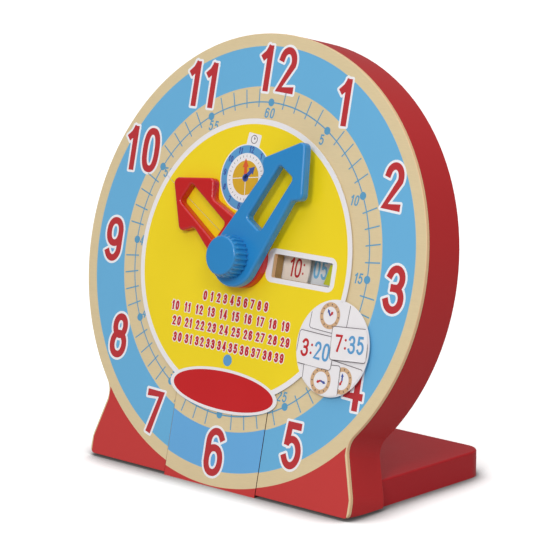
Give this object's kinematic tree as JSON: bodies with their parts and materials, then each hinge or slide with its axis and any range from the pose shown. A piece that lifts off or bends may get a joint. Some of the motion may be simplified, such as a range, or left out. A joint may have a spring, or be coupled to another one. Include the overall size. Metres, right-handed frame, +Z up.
{
  "type": "geared teaching clock",
  "caption": "Round wooden teaching clock on a stand, with geared hands, a number window and a block that stores time cards.",
  "frame": {"origin": "on the floor, under the middle of the object's box", "axes": "+X to the viewer's right along the dial, +Y back along the stand, +Z up; the dial faces -Y and leans back 13 degrees"},
  "size_m": [0.2978, 0.146, 0.293],
  "materials": {
    "panel_plywood": "printed plywood, satin clear coat",
    "red_wood": "red painted wood, satin",
    "bare_board": "thin hardboard, matt",
    "printed_card": "printed card, slightly glossy",
    "time_card": "printed card, white",
    "blue_plastic": "moulded, glossy",
    "red_plastic": "moulded, glossy",
    "white_plastic": "moulded, satin",
    "gear_plastic": "acetal, natural",
    "bearing_plastic": "nylon, dark",
    "steel": "zinc plated",
    "dowel_wood": "beech, bare"
  },
  "bodies": {
    "stand": {"base_board": "red_wood", "six_block": "red_wood", "six_block_front": "panel_plywood", "block_dowels": "dowel_wood", "block_screws": "steel", "time_cards": "time_card"},
    "clock": {"front_panel": "panel_plywood", "clock_body": "red_wood", "back_panel": "bare_board", "back_screws": "steel", "rear_bush": "bearing_plastic", "hub_bush": "bearing_plastic", "hub_nut": "steel", "idler_bush": "bearing_plastic", "face_card": "printed_card"},
    "hour": {"hour_hand": "red_plastic", "hour_pipe": "gear_plastic", "hour_disc": "white_plastic", "hour_wheel": "gear_plastic"},
    "minute": {"minute_hand": "blue_plastic", "knob": "blue_plastic", "minute_shaft": "gear_plastic", "shaft_clip": "steel", "minute_pinion": "gear_plastic", "minute_disc": "white_plastic"},
    "idler": {"idler_wheel": "gear_plastic", "idler_pinion": "gear_plastic", "idler_axle": "steel", "idler_clip": "steel"}
  },
  "joints": [
    {"name": "clock_lift", "type": "slide", "parent": "stand", "child": "clock", "axis": [0, 0.225, 0.9744], "range_m": [0, 0.08]},
    {"name": "minute_spin", "type": "hinge", "parent": "clock", "child": "minute", "pos_m": [0, -0.03864, 0.14801], "axis": [0, 0.9744, -0.225], "continuous": true},
    {"name": "hour_spin", "type": "hinge", "parent": "clock", "child": "hour", "pos_m": [0, -0.03864, 0.14801], "axis": [0, 0.9744, -0.225], "continuous": true},
    {"name": "idler_spin", "type": "hinge", "parent": "clock", "child": "idler", "pos_m": [0, -0.01674, 0.19837], "axis": [0, 0.9744, -0.225], "continuous": true}
  ],
  "couplings": [
    {"joint": "hour_spin", "follows": "minute_spin", "ratio": 0.083333},
    {"joint": "idler_spin", "follows": "minute_spin", "ratio": -0.33333}
  ]
}
